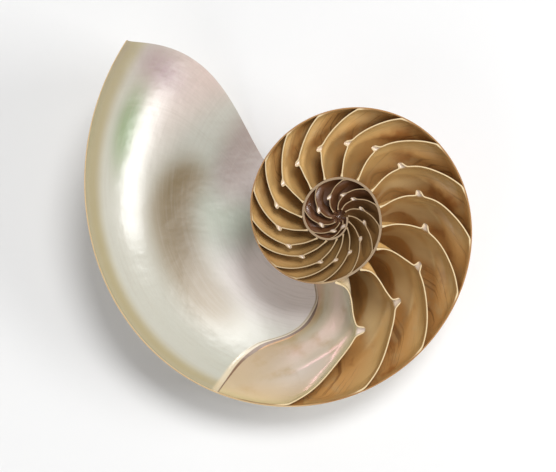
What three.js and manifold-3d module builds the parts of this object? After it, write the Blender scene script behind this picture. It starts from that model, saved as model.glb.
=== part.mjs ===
// Half of a chambered nautilus shell, sawn along its plane of symmetry and lying on its flank, cut face up.
// It grew as one piece: the coiled wall, the curved septa between the chambers and the short siphuncle necks
// on the septa are one solid. Millimetres and degrees.
//
// The shell is worked out in its own coil frame: the coil axis is Z, the cut plane is z = 0 and the shell hangs
// below it. Growth angles run clockwise seen from above, 0 along +X, and rise from the apex to the aperture.
import * as THREE from "three";
import { mergeVertices } from "three/addons/utils/BufferGeometryUtils.js";
import Module from "manifold-3d";

const wasm = await Module();
wasm.setup();

// The spiral: distance of the outer edge from the coil axis at every eighth of a turn, innermost first.
const firstAngle = -900;
const knotStep = 45;
const venterRadii = [
  3.3, 3.0, 2.8, 2.8, 3.2, 4.3, 7.8, 12.0, 15.0, 15.8, 16.0, 16.1, 16.6, 19.7,
  25.3, 32.2, 35.8, 38.7, 43.4, 48.6, 52.5, 59.4, 73.1, 89.4, 101.4, 112.2, 121,
];
const apexGrowth = 0.3; // growth per radian inside the first knot
const apertureAngle = 219.5; // where the outer edge ends
const turn = 360;

// The whorl's cross-section: an ellipse from the outer edge to the flank, then a shallow umbilical dimple.
const apertureHalfWidth = 40.5;
const widthGrowth = 0.1716; // growth of the half width per radian: 2.94 times in a turn
const flankShare = 0.33; // the widest point's distance from the axis, as a share of the outer edge's
const flankAt = 0.7; // where that point comes between the outer edge, 0, and the umbilicus, 1
const dimple = 0.15; // how far the umbilicus is drawn in, as a share of the half width
const columellaShare = 0.28; // solid middle of each whorl, as a share of the whorl inside it
const callusDepth = 23; // how deep the plugged umbilicus reaches at the axis
const callusRadius = 14;
const ringShares = [0, 0.05, 0.1, 0.16, 0.25, 0.36, 0.5, 0.64, 0.76, 0.86, 0.94, 0.985, 1]; // of the outer edge

// The lip bows forwards across the flank.
const lipBow = 8.7;
const lipBowCentre = 0.69; // as a share of the lip's outer radius
const lipBowReach = 0.31;
const lipRetreat = -6;

// Thicknesses grow with the shell, from the apex to the outer whorl.
const wallThickness = { thin: 0.45, thick: 1.0 };
const septumThickness = { thin: 0.35, thick: 0.8 };
const innerLayer = { thin: 0.15, thick: 0.35 }; // nacre that each whorl lays on the one inside it
const fullThicknessRadius = 40;

// The septa: growth angle of each at the siphuncle, last one first.
const septumAngles = [
  83.5, 60.5, 36.3, 11, -13, -36.5, -59.5, -81, -103.7, -126, -147, -167, -187,
  -206, -222.5, -242.5, -260, -279.5, -307, -341, -376, -408, -437, -475, -520,
  -548, -590,
];
// How far each part of a septum's edge lies ahead of that angle, in degrees.
const ventralLead = 23;
const innerVentralLead = 31;
const dorsalLead = -8.5;
const innerDorsalLead = -26;
const dorsalFillet = 60; // per unit of the inner whorl's growth, where the septum climbs it
const lateralLobe = 20;
const ventralSaddle = 41;
const umbilicalSaddle = 30;
const dorsalLobe = -12;
// Where along the whorl's height the siphuncle pierces a septum.
const siphuncleShare = { inner: 0.47, outer: 0.57 };

// Siphuncle necks, for a septum of the outer whorl.
const neckCount = 15;
const neckLength = 2.6;
const neckRadius = 1.15;
const neckFlare = 0.7;
const neckWall = 0.42;

// Lying on its flank, the shell leans until its centre of mass is over the point it rests on. The lean turns
// about a line in the cut plane through the coil axis.
const leanAngle = 11.6;
const leanDirection = -10.7; // growth angle of that line

const radians = THREE.MathUtils.degToRad;
const { clamp, lerp, smoothstep } = THREE.MathUtils;

const knotAngles = venterRadii.map((_, i) => firstAngle + knotStep * i);
const logRadius = new THREE.CubicInterpolant(
  knotAngles,
  venterRadii.map(Math.log),
  1,
);

function venterRadius(angle) {
  if (angle < firstAngle)
    return venterRadii[0] * Math.exp(apexGrowth * radians(angle - firstAngle));
  return Math.exp(logRadius.evaluate(angle)[0]);
}

function halfWidth(angle) {
  return apertureHalfWidth * Math.exp(widthGrowth * radians(angle - apertureAngle));
}

// A thickness that grows with the square root of the shell's radius up to the outer whorl.
function grown(range, angle) {
  const share = Math.sqrt(clamp(venterRadius(angle) / fullThicknessRadius, 0, 1));
  return lerp(range.thin, range.thick, share);
}

// Depth of a whorl's outer surface below the cut plane, at a distance from the axis.
function flankDepth(radius, angle) {
  const share = radius / venterRadius(angle);
  const width = halfWidth(angle);
  if (share < flankShare)
    return width * (1 - dimple * ((flankShare - share) / flankShare) ** 2);
  const x = Math.min(1, (share - flankShare) / (1 - flankShare));
  return width * Math.sqrt(1 - x * x);
}

// The same with the umbilicus plugged, as on the outside of the last whorl.
function outerDepth(radius, angle) {
  return lerp(callusDepth, flankDepth(radius, angle), smoothstep(radius, 0, callusRadius));
}

function columellaRadius(angle) {
  return columellaShare * venterRadius(angle - turn);
}

// Points of the cross-section at a growth angle, along = 0 at the cut plane and 1 at the umbilicus, each as
// [distance from the axis, height]. outerWall is the inside of the whorl's own wall.
function outerWall(angle, along) {
  const radius = venterRadius(angle);
  const wall = grown(wallThickness, angle);
  if (along <= flankAt) {
    const sweep = (along / flankAt) * (Math.PI / 2);
    const reach = (1 - flankShare) * radius - wall;
    return [
      flankShare * radius + reach * Math.cos(sweep),
      -(halfWidth(angle) - wall) * Math.sin(sweep),
    ];
  }
  const share = (along - flankAt) / (1 - flankAt);
  const distance = lerp(flankShare * radius, columellaRadius(angle), share);
  const depth = Math.min(flankDepth(distance, angle), outerDepth(distance, angle));
  return [distance, wall - depth];
}

// innerWall is the outside of the whorl inside this one, with its layer of nacre.
function innerWall(angle, along) {
  const radius = venterRadius(angle - turn);
  const layer = grown(innerLayer, angle);
  const width = halfWidth(angle - turn) + layer;
  if (along <= flankAt) {
    const sweep = (along / flankAt) * (Math.PI / 2);
    const reach = (1 - flankShare) * radius + layer;
    return [flankShare * radius + reach * Math.cos(sweep), -width * Math.sin(sweep)];
  }
  const share = (along - flankAt) / (1 - flankAt);
  return [lerp(flankShare * radius, columellaRadius(angle), share), -width];
}

// How far the septum at this growth angle lies ahead of it. across runs from the inner wall, 0, to the outer, 1.
function septumLead(septumAngle, across, along) {
  const outer = smoothstep(septumAngle, -150, 80);
  const inner = smoothstep(-septumAngle, 330, 430);
  const siphuncle = lerp(siphuncleShare.inner, siphuncleShare.outer, outer);
  const growth =
    Math.log(venterRadius(septumAngle - turn + 8) / venterRadius(septumAngle - turn - 8)) /
    radians(16);
  const median = (share) => {
    if (share < siphuncle) {
      const x = 1 - share / siphuncle;
      return (
        lerp(lerp(dorsalLead, -3.5, outer), innerDorsalLead, inner) * x +
        dorsalFillet * clamp(growth, 0, 0.4) * (1 - inner) * x ** 4
      );
    }
    const x = (share - siphuncle) / (1 - siphuncle);
    return lerp(ventralLead, innerVentralLead, inner) * x ** lerp(0.75, 1.15, outer);
  };
  const [distance] = outerWall(septumAngle, along);
  const share = distance / venterRadius(septumAngle);
  const suture =
    lateralLobe +
    (ventralSaddle - lateralLobe) * smoothstep(share, 0.45, 0.83) +
    (umbilicalSaddle - lateralLobe) * smoothstep(-share, -0.46, -0.24);
  const drawn = along ** 2.5;
  const middle = median(across) + (umbilicalSaddle - median(across)) * drawn;
  const edge = median(1) + (umbilicalSaddle - median(1)) * drawn;
  const pinch = smoothstep(along, 0, 0.3);
  const outerPull = (lerp(median(1), suture, pinch) - edge) * across ** 3;
  const innerPull = dorsalLobe * Math.sin(Math.PI * Math.min(1, along / 0.6));
  return middle + outerPull + innerPull * (1 - across) ** 3;
}

// A point in the coil frame.
function place(distance, angle, height) {
  return new THREE.Vector3(
    distance * Math.cos(radians(angle)),
    -distance * Math.sin(radians(angle)),
    height,
  );
}

function sectionPoint(across, along, angle) {
  const [innerDistance, innerHeight] = innerWall(angle, along);
  const [outerDistance, outerHeight] = outerWall(angle, along);
  return [
    lerp(innerDistance, outerDistance, across),
    lerp(innerHeight, outerHeight, across),
  ];
}

// A closed solid over a box of grid cells, nu by nv by nw, whose corner (u, v, w) is pointAt(u, v, w).
function blockSolid(nu, nv, nw, pointAt) {
  const points = [];
  const faces = [];
  const sheet = (na, nb, corner) => {
    const start = points.length;
    for (let a = 0; a <= na; a++)
      for (let b = 0; b <= nb; b++) points.push(pointAt(...corner(a, b)));
    for (let a = 0; a < na; a++)
      for (let b = 0; b < nb; b++) {
        const p = start + a * (nb + 1) + b;
        faces.push(p, p + nb + 2, p + nb + 1, p, p + 1, p + nb + 2);
      }
  };
  sheet(nv, nu, (a, b) => [b, a, 0]);
  sheet(nu, nv, (a, b) => [a, b, nw]);
  sheet(nu, nw, (a, b) => [a, 0, b]);
  sheet(nw, nu, (a, b) => [b, nv, a]);
  sheet(nw, nv, (a, b) => [0, b, a]);
  sheet(nv, nw, (a, b) => [nu, a, b]);
  const geometry = new THREE.BufferGeometry().setFromPoints(points);
  geometry.setIndex(faces);
  return solidFrom(geometry);
}

// The same surface with its corners closer than the tolerance joined, and the triangles that this closes left out.
function welded(geometry, tolerance) {
  const bare = geometry.clone();
  bare.deleteAttribute("normal");
  bare.deleteAttribute("uv");
  const merged = mergeVertices(bare, tolerance);
  const index = merged.index.array;
  const kept = [];
  for (let i = 0; i < index.length; i += 3) {
    const [a, b, c] = index.subarray(i, i + 3);
    if (a !== b && b !== c && c !== a) kept.push(a, b, c);
  }
  return merged.setIndex(kept);
}

function solidFrom(geometry) {
  const clean = welded(geometry, 1e-4);
  return new wasm.Manifold(
    new wasm.Mesh({
      numProp: 3,
      vertProperties: new Float32Array(clean.attributes.position.array),
      triVerts: new Uint32Array(clean.index.array),
    }),
  );
}

function lipAngle(distance) {
  const x = (distance / venterRadius(apertureAngle) - lipBowCentre) / lipBowReach;
  return apertureAngle + Math.max(lipBow * (1 - x * x), lipRetreat);
}

// The filled outside of the last whorl between two growth angles, which lean along the lip's curve.
function outerSector(from, to) {
  const rings = ringShares.length - 1;
  const steps = Math.round((to - from) / 7);
  return blockSolid(rings, 1, steps, (i, j, k) => {
    const base = lerp(from, to, k / steps);
    const angle = base + lipAngle(ringShares[i] * venterRadius(base)) - apertureAngle;
    const distance = ringShares[i] * venterRadius(angle);
    const depth = i === rings ? 0 : outerDepth(distance, angle);
    return place(distance, angle, j === 0 ? 0 : -depth);
  });
}

// The hollow between two septa, or between the last septum and beyond the lip. It pokes up through the cut plane.
function hollow(cells, startAngle, endAngle) {
  const { across: nu, along: nv, round: nw } = cells;
  return blockSolid(nu, nv + 1, nw, (i, j, k) => {
    const across = i / nu;
    const along = Math.max(0, (j - 1) / nv);
    const from = startAngle(across, along);
    const to = endAngle(across, along);
    const angle = lerp(from, to, k / nw);
    const [distance, height] = sectionPoint(across, along, angle);
    return place(distance, angle, j === 0 ? 1 : height);
  });
}

// Half a septum's thickness as an angle, at a point of its surface.
function halfSeptum(septumAngle, across, along) {
  const [distance] = sectionPoint(across, along, septumAngle);
  return THREE.MathUtils.radToDeg(grown(septumThickness, septumAngle) / 2 / distance);
}

const frontOf = (septumAngle) => (across, along) =>
  septumAngle + septumLead(septumAngle, across, along) + halfSeptum(septumAngle, across, along);
const backOf = (septumAngle) => (across, along) =>
  septumAngle + septumLead(septumAngle, across, along) - halfSeptum(septumAngle, across, along);

function cellsFor(number) {
  if (number < 12) return { across: 5, along: 7, round: 2 };
  return { across: 4, along: 3, round: 2 };
}

function bodyChamber() {
  const beyondLip = () => apertureAngle + 30;
  return hollow({ ...cellsFor(0), round: 14 }, frontOf(septumAngles[0]), beyondLip);
}

function chambers() {
  const found = [];
  for (let n = 0; n + 1 < septumAngles.length; n++)
    found.push(hollow(cellsFor(n), frontOf(septumAngles[n + 1]), backOf(septumAngles[n])));
  return found;
}

// The short tube on a septum's back round the siphuncle, and the bore through it.
function neck(septumAngle) {
  const size = clamp(venterRadius(septumAngle) / 60, 0.35, 1.2);
  const outer = smoothstep(septumAngle, -150, 80);
  const share = lerp(siphuncleShare.inner, siphuncleShare.outer, outer);
  const [distance] = sectionPoint(share, 0, septumAngle);
  const length = neckLength * size;
  const radius = neckRadius * size;
  const wall = neckWall * size;
  const flare = neckFlare * size;
  const profile = [
    [radius - wall, length],
    [radius - wall, 0],
    [radius - wall + flare, -0.3],
    [radius + flare, -0.1],
    [radius, length],
    [radius - wall, length],
  ].map(([x, y]) => new THREE.Vector2(x, y));
  const seat = new THREE.Matrix4().makeRotationZ(-radians(septumAngle));
  seat.setPosition(place(distance, septumAngle, 0));
  const tube = new THREE.LatheGeometry(profile, 8).applyMatrix4(seat);
  const bore = new THREE.CylinderGeometry(radius - wall, radius - wall, length * 3, 8);
  return { tube: solidFrom(tube), bore: solidFrom(bore.applyMatrix4(seat)) };
}

function shellGeometry() {
  const start = apertureAngle - turn;
  let shell = outerSector(start - 24, start + 180).add(outerSector(start + 180, apertureAngle));
  shell = shell.subtract(bodyChamber());
  for (const chamber of chambers()) shell = shell.subtract(chamber);
  const room = new THREE.BoxGeometry(600, 600, 200).translate(0, 0, -100);
  const belowCut = solidFrom(room);
  for (const angle of septumAngles.slice(0, neckCount)) {
    const { tube, bore } = neck(angle);
    shell = shell.subtract(bore).add(tube.intersect(belowCut));
  }
  const { numProp, numVert, vertProperties, triVerts } = shell.getMesh();
  const position = new Float32Array(numVert * 3);
  for (let i = 0; i < numVert; i++)
    position.set(vertProperties.subarray(i * numProp, i * numProp + 3), i * 3);
  const geometry = new THREE.BufferGeometry();
  geometry.setAttribute("position", new THREE.BufferAttribute(position, 3));
  geometry.setIndex(new THREE.BufferAttribute(new Uint32Array(triVerts), 1));
  return welded(geometry, 0.01);
}

const nacre = new THREE.MeshStandardMaterial({
  color: "#d9c8a4",
  roughness: 0.35,
  metalness: 0,
});
const shellHalf = new THREE.Mesh(shellGeometry(), nacre);
shellHalf.name = "shell_half";

// The group's origin is under the middle of the resting shell, at the height it rests on.
const resting = new THREE.Group();
resting.add(shellHalf);
resting.quaternion.setFromAxisAngle(place(1, leanDirection, 0), radians(leanAngle));
const bounds = new THREE.Box3().setFromObject(resting, true);
const middle = bounds.getCenter(new THREE.Vector3());
resting.position.set(-middle.x, -middle.y, -bounds.min.z);

const nautilus = new THREE.Group();
nautilus.add(resting);
export default nautilus;
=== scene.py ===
import math

import bpy
import numpy as np
from mathutils import Matrix, Vector


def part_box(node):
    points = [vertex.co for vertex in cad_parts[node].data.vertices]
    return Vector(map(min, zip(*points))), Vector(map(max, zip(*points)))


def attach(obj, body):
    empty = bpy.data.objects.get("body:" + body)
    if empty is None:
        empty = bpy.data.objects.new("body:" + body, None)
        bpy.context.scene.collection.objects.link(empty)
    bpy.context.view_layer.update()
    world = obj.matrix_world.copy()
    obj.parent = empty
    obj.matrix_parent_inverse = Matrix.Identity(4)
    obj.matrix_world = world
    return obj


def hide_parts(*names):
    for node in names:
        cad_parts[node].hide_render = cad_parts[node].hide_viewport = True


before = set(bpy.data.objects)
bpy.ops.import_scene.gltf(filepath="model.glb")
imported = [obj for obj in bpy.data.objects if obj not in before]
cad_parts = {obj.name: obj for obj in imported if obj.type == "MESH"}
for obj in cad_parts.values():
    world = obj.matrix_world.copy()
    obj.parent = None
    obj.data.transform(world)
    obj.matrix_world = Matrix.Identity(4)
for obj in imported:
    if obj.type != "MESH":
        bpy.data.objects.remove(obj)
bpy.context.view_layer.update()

# Half of a nautilus shell, lying on its flank with the sawn face up. Everything is worked out in the coil's own
# frame, in millimetres: the coil axis is Z, the sawn plane is z = 0 and the shell hangs below it. Growth angles are
# degrees, clockwise from above, and rise from the first chamber to the lip.
coil = {
    "firstAngle": -900,
    "knotStep": 45,
    "venterRadii": [3.3, 3.0, 2.8, 2.8, 3.2, 4.3, 7.8, 12.0, 15.0, 15.8, 16.0, 16.1, 16.6, 19.7,
                    25.3, 32.2, 35.8, 38.7, 43.4, 48.6, 52.5, 59.4, 73.1, 89.4, 101.4, 112.2, 121],
    "apexGrowth": 0.3,        # growth per radian before the first knot
    "lipAngle": 219.5,
    "lipHalfWidth": 40.5,
    "widthGrowth": 0.1716,    # per radian, 2.94 times in a turn
    "flankShare": 0.33,       # where the whorl is widest, as a share of its outer radius
    "flankAt": 0.7,           # where that is between the outer edge, 0, and the umbilicus, 1
    "dimple": 0.15,           # how far the umbilicus is drawn in
    "columella": 0.28,        # solid middle, as a share of the whorl inside
    "callusDepth": 23,        # of the plug in the umbilicus, and how far from the axis it reaches
    "callusRadius": 14,
    "wall": (0.25, 0.5),      # thickness in the first whorl, and where the radius is fullRadius
    "septum": (0.2, 0.46),
    "covered": 0.5,           # extra thickness where a later whorl has grown over the wall
    "coveredUpTo": (-290, -235),  # growth angles over which that ends
    "fullRadius": 40,         # of the whorl, where walls have their full thickness
    "nacreLayer": 0.15,       # over the whorl one turn in
    "lean": 11.6,             # how far the sawn face leans once the shell lies still
    "leanDirection": -10.7,
}


def smoothstep(x, low, high):
    # 0 below low, 1 above high, and three t squared less two t cubed between them.
    t = np.clip((x - low) / (high - low), 0, 1)
    return t * t * (3 - 2 * t)


def lerp(a, b, t):
    # In a straight line from a, at t = 0, to b, at t = 1.
    return a + (b - a) * t


def splineThrough(xs, ys):
    # The natural cubic spline: each span is a cubic, and slope and curvature run on across the knots.
    xs, ys = np.asarray(xs, float), np.asarray(ys, float)
    h = np.diff(xs)
    n = len(xs)
    system = np.eye(n)
    right = np.zeros(n)
    inner = np.arange(1, n - 1)
    system[inner, inner - 1] = h[:-1]
    system[inner, inner] = 2 * (h[:-1] + h[1:])
    system[inner, inner + 1] = h[1:]
    right[inner] = 6 * (np.diff(ys)[1:] / h[1:] - np.diff(ys)[:-1] / h[:-1])
    bend = np.linalg.solve(system, right)

    def at(x):
        x = np.clip(x, xs[0], xs[-1])
        k = np.clip(np.searchsorted(xs, x, side="right") - 1, 0, n - 2)
        a, b = (xs[k + 1] - x) / h[k], (x - xs[k]) / h[k]
        return a * ys[k] + b * ys[k + 1] + ((a**3 - a) * bend[k] + (b**3 - b) * bend[k + 1]) * h[k] ** 2 / 6

    return at


knotAngles = coil["firstAngle"] + coil["knotStep"] * np.arange(len(coil["venterRadii"]))
logRadius = splineThrough(knotAngles, np.log(coil["venterRadii"]))


def venterRadius(angle):
    # Outer radius of the whorl: the exponential of a spline through the knots' logarithms.
    before = np.minimum(angle - coil["firstAngle"], 0)
    return np.exp(logRadius(angle) + coil["apexGrowth"] * np.radians(before))


def halfWidth(angle):
    # Half the width of the whorl: exponential in the growth angle, backwards from the lip.
    return coil["lipHalfWidth"] * np.exp(coil["widthGrowth"] * np.radians(angle - coil["lipAngle"]))


def grown(pair, angle):
    # A thickness that grows with the square root of the shell's radius.
    return lerp(pair[0], pair[1], np.sqrt(np.clip(venterRadius(angle) / coil["fullRadius"], 0, 1)))


def flankDepth(radius, angle):
    # A quarter ellipse from the outer edge to the flank, then a shallow dimple towards the axis.
    share = radius / venterRadius(angle)
    x = np.clip((share - coil["flankShare"]) / (1 - coil["flankShare"]), 0, 1)
    y = np.clip((coil["flankShare"] - share) / coil["flankShare"], 0, 1)
    return halfWidth(angle) * np.sqrt(1 - x * x) * (1 - coil["dimple"] * y * y)


def outerDepth(radius, angle):
    # The same with the umbilicus plugged by callus.
    return lerp(coil["callusDepth"], flankDepth(radius, angle), smoothstep(radius, 0, coil["callusRadius"]))


def columellaRadius(angle):
    # The solid middle keeps in step with the whorl one turn in.
    return coil["columella"] * venterRadius(angle - 360)


def wallThickness(angle):
    # Grows with the shell, and thicker where a later whorl lies on the wall.
    return grown(coil["wall"], angle) + coil["covered"] * (1 - smoothstep(angle, *coil["coveredUpTo"]))


def outerWall(angle, along):
    # Inside of the whorl's own wall, as distance from the axis and height, for along = 0 at the sawn plane.
    radius, wall = venterRadius(angle), wallThickness(angle)
    sweep = np.clip(along / coil["flankAt"], 0, 1) * np.pi / 2
    share = np.clip((along - coil["flankAt"]) / (1 - coil["flankAt"]), 0, 1)
    flankRadius = coil["flankShare"] * radius
    arcRadius = flankRadius + ((1 - coil["flankShare"]) * radius - wall) * np.cos(sweep)
    arcHeight = -(halfWidth(angle) - wall) * np.sin(sweep)
    endRadius = lerp(flankRadius, columellaRadius(angle), share)
    depth = np.minimum(flankDepth(endRadius, angle), outerDepth(endRadius, angle))
    onArc = along <= coil["flankAt"]
    return np.where(onArc, arcRadius, endRadius), np.where(onArc, arcHeight, wall - depth)


def innerWall(angle, along):
    # Outside of the whorl one turn in, under a thin layer of nacre.
    radius, layer = venterRadius(angle - 360), coil["nacreLayer"]
    width = halfWidth(angle - 360) + layer
    sweep = np.clip(along / coil["flankAt"], 0, 1) * np.pi / 2
    share = np.clip((along - coil["flankAt"]) / (1 - coil["flankAt"]), 0, 1)
    flankRadius = coil["flankShare"] * radius
    arcRadius = flankRadius + ((1 - coil["flankShare"]) * radius + layer) * np.cos(sweep)
    onArc = along <= coil["flankAt"]
    endRadius = lerp(flankRadius, columellaRadius(angle), share)
    return np.where(onArc, arcRadius, endRadius), -width * np.where(onArc, np.sin(sweep), 1)


def coilPoint(radius, angle, height):
    # Radius, growth angle and height to a point: clockwise, seen from above.
    turn = np.radians(angle)
    height = np.broadcast_to(height, np.shape(radius))
    return np.stack([radius * np.cos(turn), -radius * np.sin(turn), height], -1)


def leanMatrix():
    # Rodrigues' turn about a line in the sawn plane.
    direction, lean = math.radians(coil["leanDirection"]), math.radians(coil["lean"])
    x, y = math.cos(direction), -math.sin(direction)
    cross = np.array([[0, 0, y], [0, 0, -x], [-y, x, 0]])
    return np.eye(3) + math.sin(lean) * cross + (1 - math.cos(lean)) * cross @ cross


leaned = leanMatrix()
rng = np.random.default_rng(7)


def ripple(u, v, count, low, high):
    # Sum of sine waves, each with its own direction, pitch and start, divided by the root of their number.
    total = np.zeros(np.broadcast(u, v).shape)
    for heading, pitch, start in zip(rng.uniform(0, 2 * np.pi, count), rng.uniform(low, high, count),
                                     rng.uniform(0, 2 * np.pi, count)):
        total += np.sin(pitch * (u * np.cos(heading) + v * np.sin(heading)) + start)
    return total / math.sqrt(count)


lip = {"bow": 9.3, "centre": 0.685, "reach": 0.315, "retreat": -6}  # degrees, and shares of the outer radius


def lipLean(share):
    # How far growth lines and the lip bow forwards across the flank: a parabola that levels out at the umbilicus.
    x = (share - lip["centre"]) / lip["reach"]
    return np.maximum(lip["bow"] * (1 - x * x), lip["retreat"])


# Septa: growth angle of each at the siphuncle, last one first, and how far their sawn edge runs ahead of that
# from the inner whorl, 0, to the outer wall, 1, at four stages of growth.
septa = {
    "angles": [82.2, 58.6, 34.5, 9.5, -14, -37.5, -60.5, -82, -104.7, -126.5, -147.5, -168, -188.5,
               -208, -224.5, -244.5, -262, -283, -310, -343, -377, -409, -438, -475, -520,
               -560, -600, -640],
    "shares": [0, 0.05, 0.12, 0.22, 0.35, 0.5, 0.65, 0.8, 0.92, 1],
    "stages": [-380, -125, -13, 70],
    "leads": [[-27, -25, -22, -17, -9, 0, 9, 18, 26, 31],
              [-9, -8, -6.2, -4.6, -2.6, 0, 7, 14.5, 20.5, 25],
              [0, -0.6, -2.4, -3.8, -3.4, 0, 4.6, 12.3, 19, 24],
              [12, 5.5, 1.2, 0, 0, 0, 7, 13.5, 19, 24]],
    "sutureShares": [0.24, 0.34, 0.42, 0.51, 0.57, 0.62, 0.66, 0.7, 0.75, 0.8, 0.9, 1],
    "sutureLeads": [31, 27.5, 21.5, 20.5, 22, 25.2, 29, 33.8, 38.2, 40.5, 42, 42.5],
    "lineShares": [0.3, 0.36, 0.436, 0.51, 0.6, 0.66, 0.71, 0.755, 0.83, 0.924, 1],
    "lineLeads": [29, 25.4, 20.9, 21.7, 25.6, 31.5, 37.3, 39.8, 41.6, 42, 42.2],
    "umbilicalLead": 30,
    "dorsalLobe": -6,
    "grip": (3.2, 110),       # power of the turn along the wall deep down, and how many times that at the sawn edge
    "neckShare": (0.5, 0.48),  # inner whorls, outer whorl
    "neckRadius": 1.25,       # of a septum of the outer whorl
    "neckLength": 3.2,
    "neckFullAt": 62,         # outer radius at which the neck has that size
    "last": 0,
    "outer": range(1, 12),
    "inner": range(12, 28),
    "spacing": (23, 33),      # degrees from one septum to the next, in the outer whorl and inside it
    "columns": 44,            # across the whorl
    "rows": 34,               # down the septum
    "coarser": 0.7,           # grid of the inner septa
}
edgeLead = [splineThrough(septa["shares"], row) for row in septa["leads"]]
sutureLead = splineThrough(septa["sutureShares"], septa["sutureLeads"])
lineLead = splineThrough(septa["lineShares"], septa["lineLeads"])  # where the last septum's face runs out on the wall


def septumLead(septumAngle, across, along):
    # The sawn edge's lead, eased with depth into the suture on the outer wall, as a steep power of the way across,
    # and a lobe on the inner one, half a sine long.
    stage = np.interp(septumAngle, septa["stages"], range(4))
    low = min(int(stage), 2)
    edge = lambda s: lerp(edgeLead[low](s), edgeLead[low + 1](s), stage - low)
    wallRadius, _ = outerWall(septumAngle + 25.0, along)
    suture = sutureLead(np.clip(wallRadius / venterRadius(septumAngle + 25.0), 0.24, 1))
    drawn = along**2.5
    middle = lerp(edge(across), septa["umbilicalLead"], drawn)
    wallSide = lerp(edge(1.0), septa["umbilicalLead"], drawn)
    grip = septa["grip"][0] * septa["grip"][1] ** (1 - smoothstep(along, 0, 0.2))
    lobe = septa["dorsalLobe"] * np.sin(np.pi * np.clip((along - 0.15) / 0.55, 0, 1))
    drag = (suture - wallSide) * across**grip
    return middle + drag + lobe * (1 - across) ** 3, drag


def sectionPoint(across, along, angle):
    # Straight across the whorl, from its inner wall to its outer wall at the same share of their lengths.
    innerRadius, innerHeight = innerWall(angle, along)
    outerRadius, outerHeight = outerWall(angle, along)
    return lerp(innerRadius, outerRadius, across), lerp(innerHeight, outerHeight, across)


def gridQuads(rows, columns, closedColumns=False):
    # Quads between neighbouring rows and columns of a grid of points, closed round where asked.
    i = np.arange(rows - 1)
    j = np.arange(columns if closedColumns else columns - 1)
    i, j = np.meshgrid(i, j, indexing="ij")
    a, b = i * columns + j, (i + 1) * columns + j
    c, d = (i + 1) * columns + (j + 1) % columns, i * columns + (j + 1) % columns
    return np.stack([a, b, c, d], -1).reshape(-1, 4)


def toWorld(points):
    # From the coil's frame in millimetres to the model's in metres: leaned, then moved to the axis foot.
    return (points @ leaned.T + foot) * 0.001


def addPiece(name, points, quads, attributes, materials, faceMaterials, sharpAngle=40):
    # A smooth mesh with its attributes and materials, riding on the one body.
    mesh = bpy.data.meshes.new(name)
    mesh.from_pydata(toWorld(points).tolist(), [], quads.tolist())
    mesh.update()
    for key, values in attributes.items():
        layer = mesh.attributes.new(key, "FLOAT", "POINT")
        layer.data.foreach_set("value", np.ascontiguousarray(values, np.float32).ravel())
    for material in materials:
        mesh.materials.append(material)
    mesh.polygons.foreach_set("material_index", np.ascontiguousarray(faceMaterials, np.int32))
    mesh.polygons.foreach_set("use_smooth", np.ones(len(mesh.polygons), bool))
    mesh.set_sharp_from_angle(angle=math.radians(sharpAngle))
    mesh.validate()
    piece = bpy.data.objects.new(name, mesh)
    bpy.context.scene.collection.objects.link(piece)
    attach(piece, "root")
    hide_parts("shell_half")
    return piece


def linear(hexColour):
    # sRGB hex to the linear colour that nodes expect.
    parts = [int(hexColour[i:i + 2], 16) / 255 for i in (1, 3, 5)]
    return [c / 12.92 if c <= 0.04045 else ((c + 0.055) / 1.055) ** 2.4 for c in parts] + [1]


def addNode(tree, kind, settings=None, inputs=None):
    # A node with its settings; an input is a plain value or the output socket it is linked from.
    node = tree.nodes.new(kind)
    for key, value in (settings or {}).items():
        setattr(node, key, value)
    for key, value in (inputs or {}).items():
        socket = node.inputs[key]
        if isinstance(value, bpy.types.NodeSocket):
            tree.links.new(value, socket)
        else:
            socket.default_value = value
    return node


def newMaterial(name):
    # A material with nothing but its shader and output.
    material = bpy.data.materials.new(name)
    material.use_nodes = True
    tree = material.node_tree
    tree.nodes.clear()
    shader = tree.nodes.new("ShaderNodeBsdfPrincipled")
    output = tree.nodes.new("ShaderNodeOutputMaterial")
    tree.links.new(shader.outputs["BSDF"], output.inputs["Surface"])
    return material, tree, shader


def layColours(tree, under, layers):
    # Lays colours over one another: each fades in as its source goes from low to high, up to its strength.
    for source, low, high, strength, hexColour in layers:
        amount = addNode(tree, "ShaderNodeMapRange", {"interpolation_type": "SMOOTHSTEP"},
                         {"Value": source, "From Min": low, "From Max": high, "To Max": strength})
        under = addNode(tree, "ShaderNodeMix", {"data_type": "RGBA"},
                        {0: amount.outputs["Result"], 6: under, 7: linear(hexColour)}).outputs[2]
    return under


def readSources(tree, names, noises):
    # The named attributes, and noises on the object's own coordinates, given as lump size in mm, detail, roughness.
    place = addNode(tree, "ShaderNodeTexCoord").outputs["Object"]
    found = {name: addNode(tree, "ShaderNodeAttribute", {"attribute_name": name}).outputs["Fac"] for name in names}
    for name, (size, detail, roughness) in noises.items():
        noise = addNode(tree, "ShaderNodeTexNoise", None, {"Vector": place, "Scale": 1000 / size, "Detail": detail,
                                                           "Roughness": roughness})
        found[name] = noise.outputs["Fac"]
    return found


def drawnNoise(tree, along, stretch, roughness=0.5):
    # Noise on the shell's own coordinates, drawn out by the stretch given for each.
    own = addNode(tree, "ShaderNodeCombineXYZ", None, along)
    drawn = addNode(tree, "ShaderNodeMapping", None, {"Vector": own.outputs[0], "Scale": stretch})
    return addNode(tree, "ShaderNodeTexNoise", None, {"Vector": drawn.outputs[0], "Scale": 1.0, "Detail": 3.0,
                                                      "Roughness": roughness}).outputs["Fac"]


def addBumps(tree, shader, heights):
    # Bumps laid one over another: source, depth in mm and strength.
    under = None
    for height, depth, strength in heights:
        inputs = {"Height": height, "Distance": depth / 1000, "Strength": strength}
        inputs.update({"Normal": under} if under else {})
        under = addNode(tree, "ShaderNodeBump", None, inputs).outputs["Normal"]
    tree.links.new(under, shader.inputs["Normal"])


def setSockets(shader, values):
    # Plain values on the shader's own sockets.
    for key, value in values.items():
        shader.inputs[key].default_value = value


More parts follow.
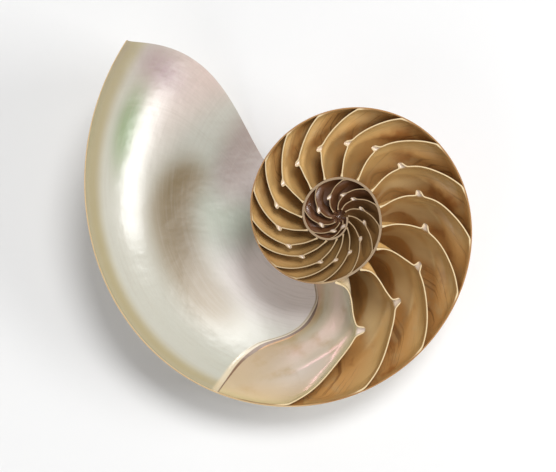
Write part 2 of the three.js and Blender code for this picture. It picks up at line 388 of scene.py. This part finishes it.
# Nacre is clear aragonite tablets in layers, so a gloss lies over a soft sheen. The tablets and their steps are far
# too fine to show: every pattern below is as coarse as it needs to be seen at arm's length.
nacreGloss = {"IOR": 1.65, "Specular IOR Level": 0.75, "Coat Weight": 0.25, "Coat Roughness": 0.16, "Coat IOR": 1.5}

# Chamber nacre, stained brown by the tissue that grew it: satin gold to the eye, golden by the sawn face, clouded,
# rusty in places, and dark brown in the first whorls. Further down it is painted a lighter, stronger orange as painted
# light, to make up for the shade deep in the chambers, and a pale golden stripe on the outer septa is a painted
# highlight. One recipe serves the septa and the wall between them, so that their joint doesn't show.
stain = {
    "base": "#C3955A",
    "edge": "#CDAA6E",
    # painted light: lighter, stronger orange deep below the sawn face, making up for the shade there
    "deep": "#CE9858",
    "cloud": "#BCA275",
    "rust": "#985A26",
    "line": "#6C3F1A",
    "core": "#7E5C34",
    "nucleus": "#4E2612",
    # painted highlight: a pale golden stripe where a softbox glints on the concave outer septa
    "paintedHighlight": "#E8CF9C",
    "neck": "#DCC8B4",
    "noises": {"cloudNoise": (9.1, 4, 0.6), "rustNoise": (14.3, 3, 0.6)},
    "bandStretch": (22, 2.5, 0.02),  # bands in a chamber's length, across the whorl, and per degree of growth
    "deepFrom": (6, 20),             # mm below the sawn face
    "coreFrom": (-90, -300),         # growth angles
    "nucleusFrom": (-320, -420),
    "roughness": 0.32,
}
stainSources = ["growth", "depth", "paintedHighlight", "ahead", "across", "front"]


def stainColour(tree, s):
    # Thin dark bands keep parallel to the septum's edge.
    bands = drawnNoise(tree, {"X": s["ahead"], "Y": s["across"], "Z": s["growth"]}, stain["bandStretch"], 0.6)
    return layColours(tree, linear(stain["base"]), [
        # painted light: lighter orange deep down, making up for the shade deep in the chambers
        (s["depth"], *stain["deepFrom"], 0.8, stain["deep"]),
        (s["cloudNoise"], 0.5, 0.68, 0.55, stain["cloud"]),
        (s["rustNoise"], 0.5, 0.66, 0.7, stain["rust"]),
        (bands, 0.54, 0.68, 0.6, stain["line"]),
        # painted highlight: the pale golden stripe on the outer septa
        (s["paintedHighlight"], 0.0, 0.6, 0.9, stain["paintedHighlight"]),
        (s["front"], 0.42, 0.0, 0.75, stain["edge"]),
        (s["growth"], *stain["coreFrom"], 0.7, stain["core"]),
        (s["growth"], *stain["nucleusFrom"], 0.85, stain["nucleus"])])


septumNacre, tree, shader = newMaterial("chamberNacre")
s = readSources(tree, stainSources + ["nearNeck"], stain["noises"])
colour = layColours(tree, stainColour(tree, s), [(s["nearNeck"], 0.2, 0.9, 0.85, stain["neck"])])
tree.links.new(colour, shader.inputs["Base Color"])
setSockets(shader, dict(nacreGloss, Roughness=stain["roughness"]))
addBumps(tree, shader, [(s["cloudNoise"], 0.6, 0.5)])

# Sawn aragonite: the wall and septa cut through and lightly polished. Chalky cream to the eye, with a fine grain,
# tan on the rim of the older half and grey-brown in the middle.
sawn = {"cream": "#DCC59C", "shade": "#CFB184", "tan": "#A27440", "old": "#8C7050", "covered": "#BFB19C",
        "grain": (1.67, 3, 0.6), "oldFrom": (-60, -330), "roughness": 0.4, "ior": 1.53}
sawnEdge, tree, shader = newMaterial("sawnAragonite")
s = readSources(tree, ["growth", "tone"], {"grain": sawn["grain"]})
colour = layColours(tree, linear(sawn["cream"]), [
    (s["grain"], 0.45, 0.7, 0.6, sawn["shade"]), (s["tone"], 0, 1, 1, sawn["tan"]),
    (s["tone"], 0, -1, 1, sawn["covered"]), (s["growth"], *sawn["oldFrom"], 0.8, sawn["old"])])
tree.links.new(colour, shader.inputs["Base Color"])
setSockets(shader, {"Roughness": sawn["roughness"], "IOR": sawn["ior"]})
addBumps(tree, shader, [(s["grain"], 0.1, 0.4)])

# Body-chamber nacre, as laid down on the wall and left unpolished: silvery pearl to the eye, with mauve where the
# layers lie at other angles, an olive band darkened as a painted dark reflection, a near-white blush painted as light
# on the lower inner part, growth lines across it and striae along it. The last septum's edge shows on it as a low ridge
# with a brown line.
pearl = {
    "base": "#B9B8AC",
    "rose": "#C9A79F",
    "mint": "#9DB39A",
    # The olive zone is a painted dark reflection and the near-white blush is painted light; the others are tints of the
    # nacre.
    "zones": {"paintedBlushLight": "#FAF1EE", "oliveDarkReflection": "#806B41", "mauve": "#94827A", "green": "#7C9166", "purple": "#9A7C84",
              "rim": "#A89C78"},
    "fine": "#A89F90",
    "ridge": "#DCC9A8",
    "line": "#6A4526",
    "noises": {"lumps": (16.7, 3, 0.5), "satin": (2.38, 2, 0.5)},
    "linesPerDegree": 1.6,       # real growth lines lie closer, a few to a millimetre
    "striaStretch": (95, 0.045, 1),  # striae across the whorl, and per degree
    "roughness": (0.45, 0.3),    # duller on the flank than by the outer edge
    "dullFrom": (0.7, 0.84),     # share of the outer radius
    "chamberBehind": (-1.0, -1.2),  # degrees behind the last septum's edge, where the stain begins
}
bodyNacre, tree, shader = newMaterial("bodyChamberNacre")
s = readSources(tree, list(pearl["zones"]) + stainSources + ["growthLine", "nearLip", "share", "soft"],
                dict(stain["noises"], **pearl["noises"]))
striae = drawnNoise(tree, {"X": s["share"], "Y": s["growthLine"]}, pearl["striaStretch"])
lines = addNode(tree, "ShaderNodeTexNoise", {"noise_dimensions": "1D"},
                {"W": s["growthLine"], "Scale": pearl["linesPerDegree"], "Detail": 3.0}).outputs["Fac"]
lineMask = addNode(tree, "ShaderNodeMath", {"operation": "MULTIPLY"}, {0: lines, 1: s["nearLip"]}).outputs[0]
ridge = addNode(tree, "ShaderNodeMapRange", {"interpolation_type": "SMOOTHERSTEP"},
                {"Value": s["ahead"], "From Min": 2.4, "From Max": 1.2}).outputs["Result"]
tinted = [(s["soft"], 0.5, 0.85, 0.7, pearl["rose"]), (s["soft"], 0.5, 0.15, 0.5, pearl["mint"])]
zoned = [(s[zone], 0, 1, 1, hexColour) for zone, hexColour in pearl["zones"].items()]
lined = [(lineMask, 0.4, 0.7, 0.15, pearl["fine"]), (striae, 0.45, 0.75, 0.2, pearl["fine"]),
         (s["ahead"], 2.8, 1.5, 0.7, pearl["ridge"]), (s["ahead"], 0.78, 0.45, 0.9, pearl["line"])]
pearly = layColours(tree, linear(pearl["base"]), tinted + zoned + lined)
inChamber = addNode(tree, "ShaderNodeMapRange", None, {"Value": s["ahead"], "From Min": pearl["chamberBehind"][0],
                                                       "From Max": pearl["chamberBehind"][1]})
colour = addNode(tree, "ShaderNodeMix", {"data_type": "RGBA"},
                 {0: inChamber.outputs["Result"], 6: pearly, 7: stainColour(tree, s)}).outputs[2]
tree.links.new(colour, shader.inputs["Base Color"])
dulled = addNode(tree, "ShaderNodeMapRange", {"interpolation_type": "SMOOTHSTEP"},
                 {"Value": s["share"], "From Min": pearl["dullFrom"][0], "From Max": pearl["dullFrom"][1],
                  "To Min": pearl["roughness"][0], "To Max": pearl["roughness"][1]})
tree.links.new(dulled.outputs["Result"], shader.inputs["Roughness"])
setSockets(shader, nacreGloss)
addBumps(tree, shader, [(ridge, 0.6, 0.8), (lineMask, 0.15, 0.15), (striae, 0.2, 0.12), (s["lumps"], 1.2, 0.5),
                        (s["satin"], 0.12, 0.35)])

# The last septum's nacre, fresh and unstained: glossy beige pearl to the eye, with a breath of rose from its
# layers, golden by its sawn edge.
fresh = {"base": "#C9BFAC", "edge": "#D0BA8C", "wallSide": "#C2A77A", "cloud": "#B5A17C", "pale": "#D6CCBF",
         "neck": "#E8DDD0", "noises": {"cloud": (12.5, 4, 0.55), "patch": (22.2, 2, 0.5)}, "roughness": 0.22,
         "film": {"Thin Film Thickness": 415, "Thin Film IOR": 1.62}}
freshNacre, tree, shader = newMaterial("lastSeptumNacre")
s = readSources(tree, ["across", "nearNeck", "depth"], fresh["noises"])
colour = layColours(tree, linear(fresh["base"]), [
    (s["patch"], 0.5, 0.7, 0.7, fresh["pale"]), (s["cloud"], 0.5, 0.72, 0.7, fresh["cloud"]),
    (s["across"], 0.8, 1, 0.6, fresh["wallSide"]), (s["depth"], 11, 0.5, 0.9, fresh["edge"]),
    (s["nearNeck"], 0.2, 0.9, 0.8, fresh["neck"])])
tree.links.new(colour, shader.inputs["Base Color"])
setSockets(shader, dict(nacreGloss, Roughness=fresh["roughness"], **fresh["film"]))
addBumps(tree, shader, [(s["cloud"], 0.7, 0.5)])

# Outer porcelain layer, as it grew: smooth cream to the eye, with ragged russet flames across the older half that
# fade on the last part of the whorl, and faint growth lines.
outside = {"cream": "#EFE6D6", "patch": "#E3D3B8", "line": "#D9C7A6", "flame": "#9A4A22",
           "noises": {"wander": (7.14, 3, 0.6), "patch": (33.3, 3, 0.5)}, "linesPerDegree": 2.0, "ragged": 0.9,
           "gloss": {"Roughness": 0.32, "Coat Weight": 0.3, "Coat Roughness": 0.15}}
porcelain, tree, shader = newMaterial("outerPorcelain")
s = readSources(tree, ["russet", "growthLine"], outside["noises"])
lines = addNode(tree, "ShaderNodeTexNoise", {"noise_dimensions": "1D"},
                {"W": s["growthLine"], "Scale": outside["linesPerDegree"], "Detail": 4.0}).outputs["Fac"]
ragged = addNode(tree, "ShaderNodeMath", {"operation": "MULTIPLY_ADD"},
                 {0: s["wander"], 1: outside["ragged"], 2: s["russet"]}).outputs[0]
colour = layColours(tree, linear(outside["cream"]), [
    (s["patch"], 0.4, 0.7, 0.8, outside["patch"]), (lines, 0.5, 0.8, 0.3, outside["line"]),
    (ragged, 0.85, 1.1, 1, outside["flame"])])
tree.links.new(colour, shader.inputs["Base Color"])
setSockets(shader, outside["gloss"])
addBumps(tree, shader, [(lines, 0.3, 0.4)])
print("materials done:", [material.name for material in bpy.data.materials])

# The wall: its section is carried from the first whorl to the lip. Each section runs down the outside to the
# umbilicus, up the solid middle, and back along the inside.
wallShape = {
    "from": -720,             # growth angle of the first section
    "steps": 480,
    "outer": 64,              # points down the outside, up the solid middle and along the inside
    "pillar": 12,
    "inner": 64,
    "lipThin": 0.15,          # how much thinner the wall is at the lip
    "flankAt": 0.72,          # where the outside's arc ends, as a share of the points down it
    "leanFrom": (150, 20),    # degrees behind the lip over which the sections take the lip's bow
    "coveredFrom": 372,       # degrees behind the lip, further back than which the flank has no callus
    "pillarTop": 0.93,        # the solid middle's top, as a share of the inner whorl's half width
    "pillarRadius": 0.97,     # its radius, as a share of the columella
    "flamePitch": 0.42,       # radians of the flames' sine to a degree: a flame in every 15 degrees
    "flameEnd": (10, 110),    # growth angles over which the flames fade out
}


def wallSection(base):
    # base is a column of growth angles; the columns of the result run round the section. Outside: a quarter ellipse
    # to the flank, then straight in. Middle: straight across. Inside: the chamber's own wall.
    lipFade = smoothstep(base, *(coil["lipAngle"] - back for back in wallShape["leanFrom"]))
    a = np.linspace(0, 1, wallShape["outer"])[None, :]
    flankAt = wallShape["flankAt"]
    sweep = np.clip(a / flankAt, 0, 1) * np.pi / 2
    share = np.where(a <= flankAt, coil["flankShare"] + (1 - coil["flankShare"]) * np.cos(sweep),
                     coil["flankShare"] * (1 - (a - flankAt) / (1 - flankAt)))
    share = np.maximum(share, 0.002)
    outerAngle = base + lipLean(share) * lipFade
    outerRadius = share * venterRadius(outerAngle)
    outerHeight = np.where(a == 0, 0, -outerDepth(outerRadius, outerAngle))
    bare = outerAngle < coil["lipAngle"] - wallShape["coveredFrom"]
    outerHeight = np.where(bare & (a > 0), -flankDepth(outerRadius, outerAngle), outerHeight)
    b = np.linspace(0, 1, wallShape["pillar"])[None, 1:-1]
    c = np.linspace(1, 0, wallShape["inner"])[None, :]
    innerRadius, innerHeight = outerWall(base, c)
    innerShare = innerRadius / venterRadius(base)
    innerAngle = base + lipLean(innerShare) * lipFade
    innerRadius, innerHeight = outerWall(innerAngle, c)
    thin = smoothstep(base, coil["lipAngle"] - 40, coil["lipAngle"]) * wallShape["lipThin"]
    innerSweep = np.clip(c / coil["flankAt"], 0, 1) * np.pi / 2
    innerRadius = innerRadius + thin * np.cos(innerSweep)
    innerHeight = np.where(c == 0, 0, innerHeight - thin * np.sin(innerSweep))
    topDepth = wallShape["pillarTop"] * halfWidth(base - 360)
    pillarRadius = lerp(0.03, columellaRadius(base) * wallShape["pillarRadius"], np.sqrt(np.clip(b * 2, 0, 1)))
    pillarHeight = lerp(-topDepth, innerHeight[:, :1], np.clip(b * 2 - 1, 0, 1) ** 1.5)
    pillarAngle = base + lip["retreat"] * lipFade + 0 * b
    radius = np.concatenate([outerRadius, pillarRadius, innerRadius], 1)
    height = np.concatenate([outerHeight, pillarHeight, innerHeight], 1)
    angle = np.concatenate([outerAngle, pillarAngle, innerAngle], 1)
    return radius, angle, height


base = np.linspace(wallShape["from"], coil["lipAngle"], wallShape["steps"])[:, None]
wallRadius, wallAngle, wallHeight = wallSection(base)
wallPoints = coilPoint(wallRadius, wallAngle, wallHeight)

# The coil axis goes where the CAD solid's box puts it: under the leaned wall, middle to middle and bottom to bottom.
cadLow, cadHigh = (np.array(corner) * 1000 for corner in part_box("shell_half"))
flat = wallPoints.reshape(-1, 3) @ leaned.T
foot = np.array([(cadLow[0] + cadHigh[0] - flat[:, 0].min() - flat[:, 0].max()) / 2,
                 (cadLow[1] + cadHigh[1] - flat[:, 1].min() - flat[:, 1].max()) / 2,
                 cadLow[2] - flat[:, 2].min()])
print("coil axis foot, mm:", foot.round(2))

rows, columns = wallRadius.shape
wallQuads = gridQuads(rows, columns, closedColumns=True)[:, ::-1]
faceColumn = np.tile(np.arange(columns), rows - 1)
# Material of each face: 0 outside, 1 inside, 2 sawn through
faceKind = np.where(faceColumn < wallShape["outer"] - 1, 0, np.where(faceColumn < columns - 1, 1, 2))
capQuads = []
half = columns // 2
for row in (0, rows - 1):
    # A cap zips the section shut: point k on the outside to its partner on the inside.
    k = np.arange(half - 1)
    cap = np.stack([k, k + 1, columns - 2 - k, columns - 1 - k], -1) + row * columns
    capQuads.append(cap if row else cap[:, ::-1])
capQuads = np.concatenate(capQuads)
wallQuads = np.concatenate([wallQuads, capQuads])
faceKind = np.concatenate([faceKind, np.full(len(capQuads), 2)])
share = wallRadius / venterRadius(wallAngle)
ahead = wallAngle - septa["angles"][0] - lineLead(np.clip(share, 0.3, 1))


def hump(x, centre, width):
    # A bell: the exponential of minus the squared distance from its centre, in widths.
    return np.exp(-(((x - centre) / width) ** 2))


# Where the pearl's tints, its painted dark reflection and its painted light lie, by share of the outer radius and by
# growth angle.
wallFields = {
    # Painted dark reflection: an olive band, darker where the nacre would mirror the dark part of the studio.
    "oliveDarkReflection": hump(share, lerp(0.68, 0.6, smoothstep(wallAngle, 180, 205)), 0.115)
    * smoothstep(wallAngle, 122, 150) * (1 - smoothstep(wallAngle, 192, 212)),
    # Painted light: near-white on the lower inner part, standing in for a softbox's sheen and lifting the shade under
    # the inner whorl.
    "paintedBlushLight": (1 - smoothstep(share, 0.46, 0.72)) * (1 - smoothstep(wallAngle, 145, 178)),
    "mauve": (1 - smoothstep(share, 0.44, 0.62)) * smoothstep(wallAngle, 172, 205),
    "rim": smoothstep(share, 0.92, 0.985),
    "green": 0.85 * hump(share, 0.885, 0.05) * hump(wallAngle, 203, 13),
    "purple": 0.65 * hump(share, 0.86, 0.12) * hump(wallAngle, 220, 6),
}
flames = 0.5 + 0.5 * np.sin(wallShape["flamePitch"] * base + 5 * ripple(4 * share, 0.02 * wallAngle, 6, 1, 3))
flames = flames * smoothstep(share, 0.1, 0.3) * (1 - smoothstep(base, *wallShape["flameEnd"]))
lipTan = lerp(0.4, 1.0, 1 - smoothstep(wallAngle, 88, 106))
wallFields.update({
    "growth": wallAngle, "growthLine": base + 0 * wallAngle, "share": share, "ahead": ahead, "depth": -wallHeight,
    "nearLip": smoothstep(wallAngle, 185, 218), "russet": flames,
    "soft": 0.5 + 0.3 * ripple(9 * share, 0.035 * wallAngle, 7, 0.6, 1.7),
    "tone": lipTan - 2 * (1 - smoothstep(wallAngle, *coil["coveredUpTo"])),
    "paintedHighlight": 0 * share, "across": 0 * share, "front": 0 * share + 1})
addPiece("shellWall", wallPoints.reshape(-1, 3), wallQuads, wallFields, [porcelain, bodyNacre, sawnEdge], faceKind)
print("wall done:", len(wallQuads), "faces")


def densely(count, centre, spread, extra):
    # Steps from 0 to 1, with extra ones crowded round a place.
    even = np.linspace(0, 1, count)
    crowd = centre + spread * np.sinh(np.linspace(-2.2, 2.2, extra)) / np.sinh(2.2)
    steps = np.unique(np.concatenate([even, crowd[(crowd > 0.002) & (crowd < 0.998)]]))
    keep = np.concatenate([[True], np.diff(steps) > 0.0012])
    keep[-1] = True
    return steps[keep]


def septumSheets(number):
    # The middle surface of one septum and its two faces, half a thickness to each side. The surface is straight
    # across the whorl at each depth, turned ahead by its lead, with a neck pushed back out of it: the neck's length
    # over one plus the fifth power of the distance from its middle in neck radii.
    septumAngle = septa["angles"][number]
    radiusHere = venterRadius(septumAngle)
    size = float(np.clip(radiusHere / septa["neckFullAt"], 0.3, 1.25))
    stage = float(smoothstep(septumAngle, -200, 60))
    neckSize = max(size, 0.5)
    neckShare = lerp(*septa["neckShare"], stage)
    detail = 1.0 if number < 11 else septa["coarser"]
    whorl = float(radiusHere - venterRadius(septumAngle - 360))
    s = densely(int(septa["columns"] * detail), neckShare, 3.2 * size / whorl, int(30 * detail))
    byWall = 1 - 0.045 * np.linspace(1, 0, 13) ** 1.6
    s = np.unique(np.concatenate([s[s < 0.955], byWall]))[:, None]
    rowDepth = densely(int(septa["rows"] * detail), 0.0, 0.12, int(24 * detail))
    t = (rowDepth**1.15)[None, :]
    lead, drag = septumLead(septumAngle, s, t)
    angle = septumAngle + lead
    radius, height = sectionPoint(s, t, angle)
    neckRadius = septa["neckRadius"] * neckSize
    fromNeck = np.hypot(radius - sectionPoint(neckShare, 0.0, septumAngle)[0], height) / neckRadius
    pushed = septa["neckLength"] * neckSize / (1 + fromNeck**5)
    angle = angle - np.degrees(pushed / radius)
    middle = coilPoint(radius, angle, height)
    normal = np.cross(np.gradient(middle, axis=0), np.gradient(middle, axis=1))
    normal /= np.linalg.norm(normal, axis=-1, keepdims=True) + 1e-9
    # At the sawn edge the thickness lies in the sawn plane.
    flatNormal = normal * np.array([1, 1, 0])
    flatNormal = flatNormal / np.maximum((flatNormal**2).sum(-1, keepdims=True), 0.3)
    offset = lerp(flatNormal, normal, smoothstep(t, 0.0, 0.08)[..., None])
    # Thicker where it joins the walls, hollow in the neck, and thin where it runs out along the wall.
    fused = smoothstep(drag, 1.0, 5.0)
    joints = 1 + 1.1 * np.exp(-((s / 0.035) ** 2)) + 0.5 * np.exp(-(((1 - s) / 0.02) ** 2))
    hollow = lerp(0.04, 1, smoothstep(fromNeck, 0.55, 0.8))
    thickness = grown(coil["septum"], septumAngle) * joints * hollow * (1 - 0.85 * fused)
    towardsLip = coilPoint(np.ones_like(radius), angle + 90, 0 * radius)
    facing = np.sign((normal * towardsLip).sum(-1, keepdims=True))
    shift = offset * facing * thickness[..., None] / 2
    forward = (lead - lead[:, :1]) / septa["spacing"][int(number in septa["inner"])]
    # Painted highlight: a pale stripe along each outer septum's concave face, where a softbox's glint falls.
    paintedHighlight = hump(forward, 0.1 + 0.62 * (s - 0.4), 0.045) * hump(s, 0.57, 0.17)
    fields = {"growth": angle, "across": s + 0 * t, "ahead": forward, "front": forward, "depth": -height,
              "paintedHighlight": paintedHighlight * float(smoothstep(septumAngle, -90, 0)), "nearNeck": 1 - smoothstep(fromNeck, 1.0, 2.2),
              "tone": fused}
    return middle + shift, middle - shift, fields


def sheetPiece(name, numbers, nacre):
    # Each septum's two faces, closed round their four edges. The edge at the sawn plane shows aragonite.
    points, quads, kinds, fields, start = [], [], [], {}, 0
    for number in numbers:
        front, back, own = septumSheets(number)
        count = front.shape[0] * front.shape[1]
        grid = np.arange(count).reshape(front.shape[:2])
        body = gridQuads(*front.shape[:2])
        edges = [np.stack([line[:-1], line[1:], line[1:] + count, line[:-1] + count], -1)
                 for line in (grid[:, 0], grid[::-1, -1], grid[0, ::-1], grid[-1, :])]
        quads.append(np.concatenate([body, body[:, ::-1] + count] + edges) + start)
        kinds.append(np.zeros(len(quads[-1])))
        kinds[-1][2 * len(body):2 * len(body) + len(edges[0])] = 1
        points.append(np.concatenate([front.reshape(-1, 3), back.reshape(-1, 3)]))
        for key, values in own.items():
            fields.setdefault(key, []).append(np.tile(values.ravel(), 2))
        start += 2 * count
    return addPiece(name, np.concatenate(points), np.concatenate(quads),
                    {key: np.concatenate(values) for key, values in fields.items()},
                    [nacre, sawnEdge], np.concatenate(kinds))


lastSeptum = sheetPiece("lastSeptum", [septa["last"]], freshNacre)
outerSepta = sheetPiece("outerSepta", septa["outer"], septumNacre)
innerSepta = sheetPiece("innerSepta", septa["inner"], septumNacre)
print("septa done:", [len(o.data.polygons) for o in (lastSeptum, outerSepta, innerSepta)])

# The studio, in metres. The table is matt paper that runs flat, then curves up into a backdrop all round.
studio = {
    "paper": "#E2E2E2",
    "paperRoughness": 0.9,
    "flat": 2.0,
    "cove": 0.6,
    "top": 1.3,
    "rounds": 96,
    "sky": 0.3,
    "key": {"from": (0.28, 0.34, 0.87), "strength": 1.95, "width": 25},
    "softboxes": {"rightStrip": ((0.72, -0.06, 0.46), (0.5, 0.24), 4.2),  # place, size and watts
                  "lowerLeftFill": ((-0.4, -0.55, 0.6), (0.4, 0.3), 0.8),
                  "upperLeftStrip": ((-0.6, 0.5, 0.28), (0.45, 0.1), 0.9)},
    "aim": (0, 0, 0.02),
    "lens": 110,
    "sensor": 36,
    "viewWidth": 222.4,          # mm of the sawn face from left to right
    "viewMiddle": (-24.8, -7.6, 0),  # mm from the coil axis, on the sawn plane
}
floorMaterial, tree, shader = newMaterial("paleTable")
setSockets(shader, {"Base Color": linear(studio["paper"]), "Roughness": studio["paperRoughness"]})
# A profile turned round the Z axis: flat, then a quarter circle, then straight up.
bend = np.linspace(0, np.pi / 2, 17)
wallAt = studio["flat"] + studio["cove"]
profileRadius = np.concatenate([[0.01, 1], studio["flat"] + studio["cove"] * np.sin(bend), [wallAt]])[:, None]
profileHeight = np.concatenate([[0, 0], studio["cove"] * (1 - np.cos(bend)), [studio["top"]]])[:, None]
turn = np.linspace(0, 2 * np.pi, studio["rounds"], endpoint=False)[None, :]
sweepPoints = np.stack([profileRadius * np.cos(turn), profileRadius * np.sin(turn), profileHeight + 0 * turn], -1)
sweepFaces = gridQuads(len(profileRadius), studio["rounds"], closedColumns=True).tolist()
floorMesh = bpy.data.meshes.new("floor")
floorMesh.from_pydata(sweepPoints.reshape(-1, 3).tolist(), [], sweepFaces + [list(range(studio["rounds"]))])
floorMesh.polygons.foreach_set("use_smooth", np.ones(len(floorMesh.polygons), bool))
floorMesh.materials.append(floorMaterial)
floor = bpy.data.objects.new("floor", floorMesh)
bpy.context.scene.collection.objects.link(floor)

world = bpy.data.worlds.new("studio")
world.use_nodes = True
world.node_tree.nodes["Background"].inputs["Color"].default_value = (1, 1, 1, 1)
world.node_tree.nodes["Background"].inputs["Strength"].default_value = studio["sky"]
bpy.context.scene.world = world


def addLight(name, kind, place, aim, settings):
    # A light at its place, turned to shine at its aim.
    data = bpy.data.lights.new(name, kind)
    for key, value in settings.items():
        setattr(data, key, value)
    light = bpy.data.objects.new(name, data)
    light.location = place
    light.rotation_euler = (Vector(aim) - Vector(place)).to_track_quat("-Z", "Y").to_euler()
    bpy.context.scene.collection.objects.link(light)


# The key is a big softbox far off: a sun light as wide as the box looks from the table, so the table is lit evenly.
addLight("keySoftbox", "SUN", studio["key"]["from"], (0, 0, 0),
         {"energy": studio["key"]["strength"], "angle": math.radians(studio["key"]["width"])})
for name, (place, size, watts) in studio["softboxes"].items():
    addLight(name, "AREA", place, studio["aim"],
             {"shape": "RECTANGLE", "size": size[0], "size_y": size[1], "energy": watts})

# The camera looks straight down on the sawn face: its right, up and back are the coil frame's X, Y and Z, leaned.
camera = bpy.data.objects.new("camera", bpy.data.cameras.new("camera"))
camera.data.lens = studio["lens"]
camera.data.sensor_width = studio["sensor"]
camera.data.clip_start = 0.01
reach = studio["viewWidth"] * studio["lens"] / studio["sensor"]
eye = toWorld(np.array(studio["viewMiddle"]) + np.array([0, 0, reach]))
camera.matrix_world = Matrix([[*row, place] for row, place in zip(leaned, eye)] + [[0, 0, 0, 1]])
bpy.context.scene.collection.objects.link(camera)
bpy.context.scene.camera = camera
bpy.context.scene.view_settings.view_transform = "Standard"
print("studio done:", len(bpy.data.lights), "lights")
